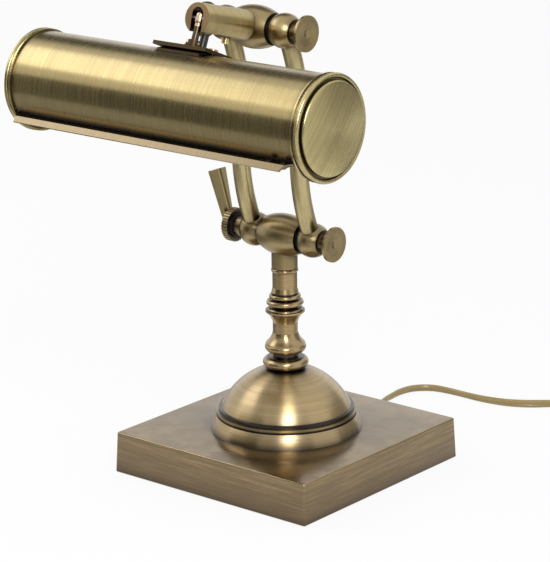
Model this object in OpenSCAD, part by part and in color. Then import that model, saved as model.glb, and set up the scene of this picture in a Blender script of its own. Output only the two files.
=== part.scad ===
// Table lamp with a half-open cylindrical shade on a pair of curved swing arms.
// Origin: centre of the base's underside. X runs along the pivots, -Y is the front, Z is up.
// Sizes are in millimetres.

/* [Base] */
// Side of the square base where it meets the table
base_w = 151; // [120:1:200]
// Height of the base's top face over the table
base_h = 26; // [22:1:40]
// How far each side leans in from bottom to top
base_draft = 1.1; // [0:0.1:2.5]
// Thickness of the base shell
base_wall = 1.6; // [1:0.1:3]
// Small bevel along the top edges
base_bevel = 0.6; // [0.2:0.1:1.5]
// Gap between the shell's rim and the table
rim_gap = 0.3; // [0.2:0.1:1.5]
// Thickness of the sole sheet under the weight
sole_t = 2; // [1:0.5:4]
// Side of the square cast weight
weight_w = 112; // [80:1:116]

/* [Foot] */
// Radius of the foot's skirt on the base
skirt_r = 47; // [44:0.5:52]
// Height of the skirt band
skirt_h = 8.6; // [6:0.2:12]
// How far the skirt band leans in
skirt_lean = 3.6; // [1:0.2:5]
// Outward bow of the skirt band
skirt_bow = 0.5; // [0.2:0.1:1]
// Height of the stepped rings between skirt and dome
step_h = 5.4; // [4:0.2:8]
// Radius of the dome's sphere
dome_r = 44.2; // [42.6:0.1:47]
// Depth of the dome's centre under the base's top face
dome_drop = 4.8; // [2:0.1:5.4]
// Height of the dome's flat top over the base's top face
dome_h = 38.4; // [34:0.2:39]
// Wall of the spun foot
foot_wall = 1.6; // [1:0.1:2.5]

/* [Column] */
// Outside radius of the hollow tie rod
rod_r = 5; // [4:0.1:5.4]
// Radius of the lead's way through the tie rod
rod_bore_r = 3; // [2.5:0.1:3.4]
// Radius of the seat ring
seat_r = 14.1; // [12:0.1:14.4]
// Height of the seat ring
seat_h = 6.8; // [5:0.2:9]
// Height of the baluster
baluster_h = 41.2; // [36:0.2:48]
// Radius of the baluster's lower bead
baluster_bead_r = 12.7; // [11.5:0.1:13.5]
// Radius of the baluster's waist
waist_r = 7.35; // [7:0.05:8.5]
// Radius of the baluster's largest ring
ring_r = 11.4; // [10.5:0.1:12.5]
// Radius of the plain neck
neck_r = 7.6; // [7:0.1:8.2]
// Height of the neck
neck_h = 15.6; // [12:0.2:20]

/* [Pivots] */
// Height of the lower pivot over the column's top
pivot_h = 20.4; // [16:0.1:24]
// Radius of a barrel at its middle
barrel_r = 13; // [12:0.1:15]
// Radius of a barrel at its ends
barrel_end_r = 9.5; // [8.5:0.1:10.5]
// Length of a barrel along the pivot
barrel_w = 29; // [22:0.5:32]
// Radius of the collar under the lower barrel
collar_r = 8; // [7.4:0.1:9]
// Radius of the pivot bolts
bolt_r = 3; // [2.5:0.1:3.4]
// Radius of a ball knuckle
knuckle_r = 10.5; // [9.8:0.1:11.5]
// Length of a knuckle along the pivot
knuckle_w = 15; // [13:0.5:17]
// Thickness of a pivot washer
washer_t = 0.5; // [0.3:0.1:1.5]
// Radius of a pivot washer
washer_r = 7.6; // [5:0.1:9.4]
// Radius of a disc cap
cap_r = 10.75; // [9:0.05:12.5]
// Length of a disc cap along the pivot
cap_w = 9.2; // [8:0.1:13]
// Thickness of a disc cap's edge
cap_edge = 2.7; // [1.5:0.1:3.5]

/* [Clamp] */
// Length of the spacer collar beside the left knuckle
spacer_w = 5.5; // [3:0.1:7]
// Thickness of the dark ring beside the spacer
ring_w = 1.6; // [1:0.1:2.5]
// Radius of the knurled disc
disc_r = 10.5; // [9:0.1:12]
// Thickness of the knurled disc
disc_w = 4.4; // [3:0.1:6]
// Notches round the knurled disc
disc_notches = 36; // [24:1:48]
// Length of the paddle lever from the pivot to its tip
lever_len = 35; // [28:0.5:42]
// Width of the paddle at its tip
lever_tip_w = 13.2; // [8:0.2:14]
// Width of the paddle at its root
lever_root_w = 6.4; // [5:0.2:9]
// Outward lean of the paddle
lever_lean = 17; // [0:1:30]

/* [Arms] */
// Height of the upper pivot over the table
head_z = 280; // [255:0.5:300]
// Forward lean of the arms at both ends
arm_end_lean = 27.4; // [18:0.1:30]
// Backward lean of the arms at the middle
arm_mid_lean = 6.5; // [0:0.1:9]
// Radius of an arm
arm_r = 5.5; // [4.4:0.1:6]

/* [Head] */
// Radius of the head tube
tube_r = 9; // [8:0.1:10]
// Length from the upper pivot to the tube's front face
tube_len = 52.7; // [46:0.1:64]
// Upward slant of the tube
tube_slant = 14.1; // [0:0.1:25]
// Width of the slot for the hinge tongue
slot_w = 8.4; // [7:0.1:9.4]
// Depth of the slot from the front face
slot_len = 21; // [19:0.5:26]
// Metal left over the slot
slot_roof = 2.6; // [1.5:0.1:4]
// Distance of the hinge pin behind the front face
pin_back = 2.6; // [2.4:0.1:6]
// Radius of the hinge pin
pin_r = 1.2; // [1:0.1:1.6]

/* [Shade] */
// Distance from the hinge pin to the shade's centre
shade_drop = 49.6; // [46:0.1:58]
// Forward lean of the line from the pin to the shade's centre
shade_lean = 22.9; // [15:0.1:36]
// Outside radius of the shade
shade_r = 29.3; // [27:0.1:31]
// Length of the shade between its end caps
shade_w = 217; // [190:1:260]
// Thickness of the shade's sheet
shade_wall = 1; // [0.6:0.1:1.6]
// Front edge of the opening, under the horizontal
front_edge = 34; // [20:1:50]
// Back edge of the opening, under the horizontal
back_edge = 45; // [30:1:55]
// Depth of the flat lip along the front edge
lip_d = 6.4; // [5.6:0.2:9]
// Downward slant of the lip to the front
lip_slant = 3; // [0:0.2:10]
// Depth of the hem turned down along the lip's front
hem_d = 4.2; // [2:0.2:6]
// Downward slant of the hem
hem_slant = 42; // [10:1:70]
// How far the lip's front corners are cut back
lip_cut = 5; // [0:0.5:12]
// How far the end cap's bead stands out over the shade
bead_out = 1.5; // [1.2:0.1:2.5]
// Radius of the bead's section
bead_s = 1.5; // [1.2:0.1:1.8]
// Length of the saddle plate
saddle_w = 40; // [36:1:50]
// Depth of the saddle plate
saddle_d = 24; // [20:0.5:27]
// Thickness of each saddle layer
saddle_t = 1.1; // [0.8:0.1:1.6]

/* [Light] */
// Radius of the lamp holder
holder_r = 11; // [10:0.1:12]
// Length of the lamp holder
holder_w = 36; // [30:0.5:42]
// Radius of the tubular bulb
bulb_r = 12.5; // [10:0.1:13]
// Length of the bulb's glass
bulb_len = 66; // [50:1:90]
// Radius of the bulb's screw cap
bulb_cap_r = 6.9; // [6:0.1:7.4]

/* [Cord] */
// Width of the flat cord
cord_w = 5.4; // [4.6:0.1:5.6]
// Thickness of the flat cord
cord_t = 3.2; // [2.6:0.1:3.3]
// Height of the cord's exit over the table
gland_z = 7; // [6.6:0.1:9]
// Length of the gland's taper behind the base
gland_len = 18; // [15:0.5:22]
// Turns of the put-away coil
coil_turns = 8.25; // [5.25:1:8.25]
// Radius of the coil's outer turn
coil_r = 36; // [34:0.5:38]
// Thickness of the strap that ties the coil
tie_t = 0.9; // [0.5:0.1:1.2]
// Length of the in-line switch
switch_len = 56; // [50:1:58]
// Width of the in-line switch
switch_w = 22; // [18:0.5:25]
// Height of the in-line switch
switch_h = 16; // [14:0.5:20]
// Length of the plug's body
plug_len = 36; // [30:0.5:40]
// Width of the plug's body at its face
plug_w = 26; // [24:0.5:30]
// Thickness of the plug's body
plug_h = 13.6; // [11:0.2:16]

/* [Hidden] */
$fn = 64;
// Clearance of a bolt or pin in its bore
run_fit = 0.05;
// Clearance of parts that are fixed to each other
seat_fit = 0.05;
// Gap beside a part that turns against its neighbour
turn_gap = 0.1;
// Loose clearance of parts that only have to pass
free_gap = 0.4;
// Set-back that keeps one face from ending level with another
trim = 0.2;
// Overshoot of a cut past a face
over = 1;
// Reach of a cut that passes every part
far = 2 * (base_w + shade_w);

// Base, foot and column
base_in_w = base_w - 2 * base_draft - 2 * base_wall;
base_in_h = base_h - base_wall;
nut_room_r = 13;
nut_t = 3;
nut_flats = 14;
nut_washer_t = 1.5;
nut_washer_r = 10;
nut_room_z = base_in_h - 6.4;
rod_low_z = nut_room_z - nut_washer_t - nut_t - 1;
lead_r = 1.7;
lead_bend_r = 6.5;
lead_room = 2 * lead_r + 3;
lead_inner_y = base_in_w / 2 - 3;
dome_z = base_h - dome_drop;
skirt_top_z = base_h + skirt_h;
step_top_z = skirt_top_z + step_h;
foot_top_z = base_h + dome_h;
seat_top_z = foot_top_z + seat_h;
baluster_top_z = seat_top_z + baluster_h;
neck_top_z = baluster_top_z + neck_h;
pivot_z = neck_top_z + pivot_h;
rod_top_z = pivot_z - bolt_r - 5;

// Places along the pivots, from the middle outwards
washer_x = barrel_w / 2;
knuckle_x = washer_x + washer_t + turn_gap;
knuckle_mid_x = knuckle_x + knuckle_w / 2;
knuckle_out_x = knuckle_x + knuckle_w;
cap_face_x = knuckle_out_x + cap_w;
bolt_end_x = cap_face_x - cap_edge - 1;
ring_x = knuckle_out_x + spacer_w;
disc_x = ring_x + ring_w + turn_gap;
hub_x = disc_x + disc_w;
lever_w = 4.6;
clamp_bolt_x = hub_x + lever_w - 1.4;

// Arms: two opposite arcs of one radius
arm_rise = head_z - pivot_z;
arm_bend_r = arm_rise / (2 * (sin(arm_end_lean) + sin(arm_mid_lean)));
arm_sweep = arm_end_lean + arm_mid_lean;
head_y = -2 * arm_bend_r * (cos(arm_mid_lean) - cos(arm_end_lean));
arm_root = bolt_r + 1.6;
arm_root_turn = arm_root / arm_bend_r * 180 / PI;

// Head tube and shade
screw_y = 28 - tube_len;
screw_r = 1.5;
screw_in = 5;
screw_head_r = 2.6;
screw_head_h = 3.4;
pin_out = tube_len - pin_back;
pin_in = slot_w / 2 + 2.4;
slot_spring = tube_r - slot_roof - slot_w / 2;
pin_y = head_y - pin_out * cos(tube_slant);
pin_z = head_z + pin_out * sin(tube_slant);
shade_y = pin_y - shade_drop * sin(shade_lean);
shade_z = pin_z - shade_drop * cos(shade_lean);
shade_in_r = shade_r - shade_wall;
cap_x = shade_w / 2;
bead_x = cap_x + bead_s;
face_rise = 3.1;
face_x = bead_x + face_rise;
collar_w = 2.2;
bead_r = shade_r + bead_out;
pad_h = 0.3;
cradle_t = 0.9;
cradle_w = saddle_w - 8;
saddle_low = shade_r + pad_h;
saddle_top = saddle_low + 2 * saddle_t;
knob_r = 2.6;
knob_half = 1.6;
stem_r = 2.1;
boss_r = 3.5;
boss_h = 4.8;
boss_foot_r = 5.2;
boss_foot_h = 1.6;
side_screw_r = 0.9;
side_screw_head_r = 1.5;
side_screw_head_h = 1.5;
side_screw_z = saddle_top + (boss_foot_h + boss_h) / 2;
sleeve_r = 2.4;
sleeve_foot_r = 2.6;
sleeve_h = 10;
sleeve_y = boss_foot_r + sleeve_foot_r + seat_fit;
rivet_r = 1.4;
rivet_head_r = 2.7;
rivet_head_h = 1.3;
saddle_rivet_x = saddle_w / 2 - 4.5;
lip_rivet_r = 1;
lip_rivet_head_r = 1.7;
lip_rivet_out = 3.8;
lip_root = 0.3;
crease_y = -shade_r * cos(front_edge);
crease_z = -shade_r * sin(front_edge);
bracket_t = 1.2;
bracket_w = 18;
bracket_x = cap_x - 6;
bracket_in = 18;
lip_rivet_x = [bracket_x - 2.6, bracket_x - 12.8];
holder_x = bracket_x - bracket_t - holder_w;
bulb_cap_w = 17;
bulb_x = holder_x - 1.5;
glass_t = 0.8;
nipple_r = 4.9;

// Cord: points chosen by hand along its way on the table,
// each [x, y, lift over the table, roll of the flat section]
gland_y = base_w / 2;
gland_end_y = gland_y + gland_len;
gland_neck_r = 4.6;
gland_flange_r = 6;
gland_tip_r = 3.6;
gland_flange_t = 2;
switch_from = [97, 205];
switch_lift = 4.8;
switch_to_x = switch_from[0] + switch_len;
LEAD = [
  [0, gland_end_y, gland_z - cord_t / 2, 0],
  [-0.8, 99.3, 5.2, 0], [-3.2, 104.6, 4.6, 0], [-7, 109.1, 3.6, 0], [-11.2, 112.4, 2.6, 5],
  [-15.5, 115.7, 1.7, 10], [-19.2, 119.8, 0.9, 20], [-21.7, 125, 0.3, 35], [-22.9, 131, 0, 45],
  [-23.7, 139, 0, 55], [-24.4, 148, 0, 60], [-22.8, 157.6, 0, 60], [-18, 164.6, 0, 60],
  [-11, 169, 0, 60], [-2.5, 170.5, 0, 55], [9.5, 170.8, 0, 50], [21.5, 170.5, 0, 55], [33.5, 171.4, 0, 65],
  [45.5, 174.2, 0, 80], [56.5, 180, 0, 90], [66, 187.5, 0, 85], [74.5, 195.5, 0, 55], [84, 202, 2.4, 20],
  [switch_from[0] - 6, 205, switch_lift, 0], [switch_from[0], 205, switch_lift, 0]
];
coil_x = switch_to_x + sqrt(pow(coil_r + cord_t, 2) - pow(coil_r - switch_w / 2 - 2, 2));
coil_y = switch_from[1] - coil_r;
coil_pitch = cord_t + 0.6;
coil_reverse = 0.5;
coil_rings = 24;
coil_sides = 6;
coil_half_h = cord_w / 2 * sin(60);
coil_low_z = tie_t + coil_half_h + 0.1;
coil_top_z = coil_low_z + 2 * coil_half_h + 0.6;
coil_in_turns = (coil_turns - coil_reverse) / 2;
coil_in_r = coil_r - coil_in_turns * coil_pitch;
coil_end_y = coil_y - cord_w;
switch_corner = 5;
rocker_len = 20;
rocker_w = 11;
rocker_r = 24;
rocker_out = 2.4;
rocker_deep = 5;
rocker_pin_r = 1.5;
rocker_pin_len = 2;
rocker_tip = 7;
plug_tail_len = 16;
plug_tail_y = coil_end_y - 14;
plug_y = plug_tail_y - plug_tail_len;
plug_x = coil_x + coil_r;
switch_z = switch_lift + cord_t / 2;
link_x = coil_x - cord_w;
LINK = [[switch_to_x, coil_y + coil_r, switch_z], [switch_to_x + 5, coil_y + coil_r, switch_z],
  [(switch_to_x + link_x) / 2, coil_y + coil_r, (switch_z + coil_low_z) / 2],
  [link_x - 5, coil_y + coil_r, coil_low_z], [link_x, coil_y + coil_r, coil_low_z]];
LINK_ROLL = [0, 10, 45, 80, 90];
tail_z = plug_h / 2;
TAIL = [[plug_x, coil_end_y, coil_top_z], [plug_x, coil_end_y - 3, coil_top_z],
  [plug_x, coil_end_y - 7, (coil_top_z + tail_z) / 2], [plug_x, coil_end_y - 11, tail_z],
  [plug_x, plug_tail_y, tail_z]];
plug_pin_r = 2;
plug_pin_len = 19;
plug_pin_gap = 18.6;

BRASS = [0.60, 0.50, 0.30];
DARK_BRASS = [0.45, 0.37, 0.22];
STEEL = [0.62, 0.62, 0.64];
BLACK = [0.08, 0.08, 0.08];
GOLD_CORD = [0.66, 0.54, 0.26];

// Turns the X-Y plane of a sketch into the lamp's Y-Z plane, with depth along X
module in_yz() {
  rotate([90, 0, 90]) children();
}

// A turned shape about the X axis: the sketch has X as radius and Y as place along X
module turned_x() {
  rotate([0, 90, 0]) rotate_extrude() intersection() {
    children();
    translate([0, -far]) square([far, 2 * far]);
  }
}

// A turned shape about the Z axis: the sketch has X as radius and Y as height
module turned_z() {
  rotate_extrude() intersection() {
    children();
    translate([0, -far]) square([far, 2 * far]);
  }
}

module at_lower_pivot() {
  translate([0, 0, pivot_z]) children();
}

module at_upper_pivot() {
  translate([0, head_y, head_z]) children();
}

// Frame of the head tube: its axis is -Y here
module at_tube() {
  at_upper_pivot() rotate([-tube_slant, 0, 0]) children();
}

// Frame of the shade: its centre is the origin, its hinge is straight over it
module at_shade() {
  translate([0, shade_y, shade_z]) rotate([-shade_lean, 0, 0]) children();
}

// Sketch of a bar of radius r between two heights
module bar(r, low, high) {
  translate([0, low]) square([r, high - low]);
}

// Square block with drafted sides and a beveled top edge
module drafted_side(w, low, high, draft, bevel) {
  top = w / 2 - draft;
  polygon([[-w / 2, low], [w / 2, low], [top, high - bevel], [top - bevel, high],
    [bevel - top, high], [-top, high - bevel]]);
}

module drafted_block(w, low, high, draft, bevel) {
  intersection() {
    translate([0, w, 0]) rotate([90, 0, 0]) linear_extrude(2 * w) drafted_side(w, low, high, draft, bevel);
    translate([-w, 0, 0]) in_yz() linear_extrude(2 * w) drafted_side(w, low, high, draft, bevel);
  }
}

module centred_block(w, low, high) {
  translate([-w / 2, -w / 2, low]) cube([w, w, high - low]);
}

module base_shell() color(BRASS) difference() {
  drafted_block(base_w, rim_gap, base_h, base_draft, base_bevel);
  centred_block(base_in_w, rim_gap - over, base_in_h);
  cylinder(r = rod_r + free_gap, h = base_h + over);
  translate([0, base_in_w / 2 - over, gland_z]) rotate([-90, 0, 0])
    cylinder(r = gland_neck_r + seat_fit, h = base_w);
}

module base_weight() color([0.25, 0.25, 0.26]) difference() {
  centred_block(weight_w, sole_t, base_in_h);
  cylinder(r = rod_r + free_gap, h = base_h);
  translate([0, 0, sole_t - over]) cylinder(r = nut_room_r, h = nut_room_z - sole_t + over);
  translate([-lead_room / 2, 0, sole_t - over])
    cube([lead_room, weight_w, gland_z + lead_room / 2 - sole_t + over]);
}

module base_sole() color(BLACK) {
  centred_block(2 * (lead_inner_y - free_gap), 0, sole_t);
}

module tie_rod() color(STEEL) difference() {
  translate([0, 0, rod_low_z]) cylinder(r = rod_r, h = rod_top_z - rod_low_z);
  translate([0, 0, rod_low_z - over]) cylinder(r = rod_bore_r, h = rod_top_z - rod_low_z + 2 * over);
}

module tie_nut() color(STEEL) difference() {
  translate([0, 0, nut_room_z - nut_washer_t - nut_t])
    cylinder(r = nut_flats / 2 / cos(30), h = nut_t, $fn = 6);
  cylinder(r = rod_r + seat_fit, h = base_h);
}

module tie_washer() color(STEEL) difference() {
  translate([0, 0, nut_room_z - nut_washer_t]) cylinder(r = nut_washer_r, h = nut_washer_t);
  cylinder(r = rod_r + seat_fit, h = base_h);
}

// Lead from the gland along the weight's channel, round a bend and up the tie rod
module inner_lead() color(GOLD_CORD) {
  up_z = gland_z + lead_bend_r;
  translate([0, lead_bend_r, gland_z]) rotate([-90, 0, 0])
    cylinder(r = lead_r, h = lead_inner_y - lead_bend_r);
  translate([0, lead_bend_r, up_z]) in_yz() rotate(180) rotate_extrude(angle = 90)
    translate([lead_bend_r, 0]) circle(lead_r);
  translate([0, 0, up_z]) cylinder(r = lead_r, h = rod_top_z - up_z);
}

// Foot: a convex band, two dark steps and a spherical dome
module foot_sketch(inset) {
  chord = norm([skirt_lean, skirt_h]);
  bow_r = (chord * chord / 4 + skirt_bow * skirt_bow) / (2 * skirt_bow);
  back = (bow_r - skirt_bow) / chord;
  low = base_h - (inset > 0 ? over : 0);
  intersection() {
    translate([0, dome_z]) circle(dome_r - inset);
    bar(skirt_r, low, foot_top_z - inset);
  }
  intersection() {
    translate([skirt_r - skirt_lean / 2 - back * skirt_h, base_h + skirt_h / 2 - back * skirt_lean])
      circle(bow_r - inset);
    bar(skirt_r, low, skirt_top_z - inset);
  }
}

module dome_foot() color(BRASS) difference() {
  groove = 0.9;
  ledge_r = skirt_r - skirt_lean;
  union() {
    turned_z() foot_sketch(0);
    turned_z() bar(ledge_r - groove, base_h, skirt_top_z + step_h * 0.3);
    turned_z() bar(ledge_r - trim, skirt_top_z + step_h * 0.15, skirt_top_z + step_h * 0.5);
    turned_z() bar(ledge_r - 2 * groove, base_h, step_top_z - 0.6);
  }
  turned_z() foot_sketch(foot_wall);
  cylinder(r = rod_r + free_gap, h = foot_top_z + over);
}

module column_seat() color(BRASS) difference() {
  round_s = seat_h * 0.48;
  turned_z() {
    bar(seat_r - round_s, foot_top_z, seat_top_z);
    translate([seat_r - round_s, foot_top_z + round_s]) circle(round_s);
  }
  cylinder(r = rod_r + seat_fit, h = seat_top_z + over);
}

module column_baluster() color(BRASS) difference() {
  bead_s = 2.9;
  bead_z = seat_top_z + 6.2;
  hollow_s = 13;
  hollow_z = seat_top_z + 18.8;
  ring_s = [1.7, 1.9, 1.5];
  ring_out = [ring_r - trim, ring_r, ring_r - 1.7];
  ring_up = [11.3, 6.5, 2.6];
  turned_z() {
    bar(waist_r + 0.4, seat_top_z, baluster_top_z);
    translate([baluster_bead_r - bead_s, bead_z]) circle(bead_s);
    bar(baluster_bead_r - bead_s, seat_top_z + 3, bead_z + 1);
    difference() {
      bar(baluster_bead_r - 0.6, bead_z + 1, baluster_top_z - ring_up[0]);
      translate([waist_r + hollow_s, hollow_z]) circle(hollow_s);
    }
    for (i = [0:2]) {
      translate([ring_out[i] - ring_s[i], baluster_top_z - ring_up[i]]) circle(ring_s[i]);
      bar(ring_out[i] - 1.2, baluster_top_z - ring_up[i] - ring_s[i] * 0.8,
        baluster_top_z - ring_up[i] + ring_s[i] * 0.8);
    }
  }
  turned_z() difference() {
    bar(waist_r + hollow_s, hollow_z - 3, hollow_z + 3);
    bar(waist_r + 0.35, hollow_z - 4, hollow_z + 4);
  }
  cylinder(r = rod_r + seat_fit, h = baluster_top_z + over);
}

module column_neck() color(BRASS) difference() {
  bead_s = 1.3;
  bead_z = neck_top_z - 1.5;
  turned_z() {
    bar(neck_r, baluster_top_z, neck_top_z);
    polygon([[0, baluster_top_z], [neck_r + 0.7, baluster_top_z], [neck_r, baluster_top_z + 3],
      [0, baluster_top_z + 3]]);
    translate([neck_r + 0.8 - bead_s, bead_z]) circle(bead_s);
  }
  cylinder(r = rod_r + seat_fit, h = neck_top_z + over);
}

// Sketch of a barrel's outline, turned about X
module barrel_sketch(grow) {
  sag = barrel_r - barrel_end_r;
  bow_r = (barrel_w * barrel_w / 4 + sag * sag) / (2 * sag);
  intersection() {
    translate([barrel_r - bow_r, 0]) circle(bow_r + grow);
    translate([0, -barrel_w / 2 - grow]) square([barrel_r + grow, barrel_w + 2 * grow]);
  }
}

module pivot_bore(r) {
  translate([-base_w, 0, 0]) rotate([0, 90, 0]) cylinder(r = r, h = 2 * base_w);
}

module lower_barrel() color(BRASS) difference() {
  union() {
    at_lower_pivot() turned_x() barrel_sketch(0);
    translate([0, 0, neck_top_z]) cylinder(r = collar_r, h = pivot_h);
  }
  at_lower_pivot() pivot_bore(bolt_r + run_fit);
  translate([0, 0, neck_top_z - over])
    cylinder(r = rod_r + seat_fit, h = rod_top_z - neck_top_z + over + free_gap);
}

module washer_pair() {
  for (side = [0, 1]) mirror([side, 0, 0]) difference() {
    translate([washer_x, 0, 0]) rotate([0, 90, 0]) cylinder(r = washer_r, h = washer_t);
    pivot_bore(bolt_r + run_fit);
  }
}

module lower_washers() color(BLACK) at_lower_pivot() washer_pair();

module upper_washers() color(BLACK) at_upper_pivot() washer_pair();

// One arm in its own plane: two arcs, tangent where they meet; the upper one is drawn
// a trace thinner and laps into the lower one
module arm(side) {
  lap = 0.4;
  draw = 0.05;
  bend_y = arm_bend_r * cos(arm_end_lean);
  bend_up = arm_bend_r * sin(arm_end_lean);
  sweep = arm_sweep - arm_root_turn;
  translate([side * knuckle_mid_x, 0, 0]) in_yz() {
    translate([bend_y, pivot_z + bend_up]) rotate(180 - arm_mid_lean)
      rotate_extrude(angle = sweep) translate([arm_bend_r, 0]) circle(arm_r);
    translate([head_y - bend_y, head_z - bend_up]) rotate(-arm_mid_lean - lap)
      rotate_extrude(angle = sweep + lap) translate([arm_bend_r, 0]) circle(arm_r - draw);
  }
}

module left_arm() color(BRASS) arm(-1);

module right_arm() color(BRASS) arm(1);

// Ball knuckle with flat sides, a bolt bore and a socket for the arm; up is 1 at an arm's lower end
module knuckle(side, up) {
  difference() {
    intersection() {
      translate([side * knuckle_mid_x, 0, 0]) sphere(knuckle_r);
      translate([side * knuckle_mid_x - knuckle_w / 2, -knuckle_r, -knuckle_r])
        cube([knuckle_w, 2 * knuckle_r, 2 * knuckle_r]);
    }
    pivot_bore(bolt_r + seat_fit);
    translate([side * knuckle_mid_x, up * arm_bend_r * cos(arm_end_lean), up * arm_bend_r * sin(arm_end_lean)])
      in_yz() rotate(up > 0 ? 180 + arm_end_lean - arm_root_turn : arm_end_lean - arm_root_turn)
      rotate(-10) rotate_extrude(angle = 10) translate([arm_bend_r, 0]) circle(arm_r + seat_fit);
  }
}

module left_lower_knuckle() color(BRASS) at_lower_pivot() knuckle(-1, 1);

module right_lower_knuckle() color(BRASS) at_lower_pivot() knuckle(1, 1);

module left_upper_knuckle() color(BRASS) at_upper_pivot() knuckle(-1, -1);

module right_upper_knuckle() color(BRASS) at_upper_pivot() knuckle(1, -1);

module pivot_bolt(from_x, to_x) {
  translate([from_x, 0, 0]) rotate([0, 90, 0]) cylinder(r = bolt_r, h = to_x - from_x);
}

module lower_bolt() color(STEEL) at_lower_pivot() pivot_bolt(-clamp_bolt_x, bolt_end_x);

module upper_bolt() color(STEEL) at_upper_pivot() pivot_bolt(-bolt_end_x, bolt_end_x);

// Disc cap on the right: a trumpet neck that opens into a dished disc
module disc_cap() {
  neck = bolt_r + 2.2;
  flare = 5.8;
  dish_r = 60;
  dish = 0.45;
  dimple_r = 4.4;
  dimple_rise = 3.2;
  difference() {
    turned_x() difference() {
      bar(cap_r, knuckle_out_x, cap_face_x);
      translate([neck + flare, cap_face_x - cap_edge - flare * 0.8]) circle(flare);
      translate([neck + flare, knuckle_out_x - over]) square([cap_r, cap_w - cap_edge + over]);
      translate([0, cap_face_x + dish_r - dish]) circle(dish_r);
      translate([0, cap_face_x + dimple_rise]) circle(dimple_r);
    }
    translate([knuckle_out_x - over, 0, 0]) rotate([0, 90, 0])
      cylinder(r = bolt_r + seat_fit, h = bolt_end_x - knuckle_out_x + over + trim);
  }
}

module lower_cap() color(BRASS) at_lower_pivot() disc_cap();

module upper_right_cap() color(BRASS) at_upper_pivot() disc_cap();

module upper_left_cap() color(BRASS) at_upper_pivot() mirror([1, 0, 0]) disc_cap();

// Clamp on the left end of the lower bolt
module clamp_round(r, from_x, to_x, clearance) {
  at_lower_pivot() difference() {
    translate([-to_x, 0, 0]) rotate([0, 90, 0]) cylinder(r = r, h = to_x - from_x);
    pivot_bore(bolt_r + clearance);
  }
}

module clamp_spacer() color(BRASS) clamp_round(bolt_r + 3.4, knuckle_out_x, ring_x, seat_fit);

module clamp_ring() color(BLACK) clamp_round(bolt_r + 5, ring_x, ring_x + ring_w, seat_fit);

module clamp_disc() color(BRASS) {
  notch_r = 0.5;
  difference() {
    clamp_round(disc_r, disc_x, hub_x, run_fit);
    at_lower_pivot() for (i = [0:disc_notches - 1]) rotate([i * 360 / disc_notches, 0, 0])
      translate([-hub_x - over, disc_r + notch_r * 0.2, 0]) rotate([0, 90, 0])
      cylinder(r = notch_r, h = disc_w + 2 * over, $fn = 16);
  }
}

// Paddle: a wedge that widens to its tip, with a ridge along its outer face
module clamp_lever() color(BRASS) at_lower_pivot() {
  hub_r = 6;
  root = 4;
  lever_edge = lever_w * 0.7;
  difference() {
    union() {
      translate([-hub_x, 0, 0]) rotate([0, -lever_lean, 0]) intersection() {
        translate([-lever_w, 0, 0]) in_yz() linear_extrude(lever_w)
          polygon([[-lever_root_w / 2, root], [lever_root_w / 2, root], [lever_tip_w / 2, lever_len],
            [-lever_tip_w / 2, lever_len]]);
        linear_extrude(lever_len) polygon([[0, lever_tip_w], [lever_edge - lever_w, lever_tip_w],
          [-lever_w, 0], [lever_edge - lever_w, -lever_tip_w], [0, -lever_tip_w]]);
      }
      mirror([1, 0, 0]) turned_x() intersection() {
        bar(hub_r, hub_x, hub_x + lever_w);
        translate([0, hub_x - 3]) circle(lever_w + 3);
      }
    }
    translate([-clamp_bolt_x - trim, 0, 0]) rotate([0, 90, 0])
      cylinder(r = bolt_r + run_fit, h = clamp_bolt_x);
  }
}

module upper_barrel() color(BRASS) at_upper_pivot() difference() {
  turned_x() barrel_sketch(0);
  pivot_bore(bolt_r + run_fit);
}

// Head tube: brazed to the barrel, with an arched slot at the front that is open below
module head_tube() color(BRASS) difference() {
  at_tube() rotate([90, 0, 0]) translate([0, 0, barrel_end_r]) difference() {
    cylinder(r = tube_r, h = tube_len - barrel_end_r);
    translate([0, 0, -over]) cylinder(r = lead_r + free_gap, h = tube_len);
  }
  at_upper_pivot() turned_x() barrel_sketch(seat_fit);
  at_tube() translate([-slot_w / 2, -tube_len - over, -tube_r - over])
    cube([slot_w, slot_len + over, tube_r + slot_spring + over]);
  at_tube() translate([0, -tube_len - over, slot_spring]) rotate([-90, 0, 0])
    cylinder(r = slot_w / 2, h = slot_len + over);
  at_tube() translate([0, -pin_out, 0]) pin_rod(pin_r + seat_fit, tube_r + over, pin_in + free_gap);
  at_tube() translate([0, screw_y, -tube_r - over]) cylinder(r = screw_r + seat_fit, h = screw_in + over);
}

module tube_screw() color(BRASS) at_tube() translate([0, screw_y, -tube_r]) {
  translate([0, 0, -screw_head_h]) cylinder(r = screw_head_r, h = screw_head_h - 0.3);
  translate([0, 0, -screw_head_h]) cylinder(r = screw_r, h = screw_head_h + screw_in - trim);
}

// The pin goes in from the left and ends inside the right cheek of the slot
module pin_rod(r, left, right) {
  translate([-left, 0, 0]) rotate([0, 90, 0]) cylinder(r = r, h = left + right);
}

module hinge_pin() color(STEEL) at_tube() translate([0, -pin_out, 0]) {
  flush = sqrt(tube_r * tube_r - pin_r * pin_r) - trim;
  pin_rod(pin_r, flush, pin_in);
}

// Tongue: a round stem with a long knob that turns on the pin, its foot held in the boss on the saddle
module hinge_tongue() color(DARK_BRASS) at_shade() difference() {
  union() {
    for (up = [-1, 1]) translate([0, 0, shade_drop + up * knob_half]) sphere(knob_r);
    translate([0, 0, shade_drop - knob_half]) cylinder(r = knob_r, h = 2 * knob_half);
    translate([0, 0, saddle_top]) cylinder(r = stem_r, h = shade_drop - saddle_top);
  }
  translate([0, 0, shade_drop]) pivot_bore(pin_r + run_fit);
  translate([0, 0, side_screw_z]) pivot_bore(side_screw_r + seat_fit);
}

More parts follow.
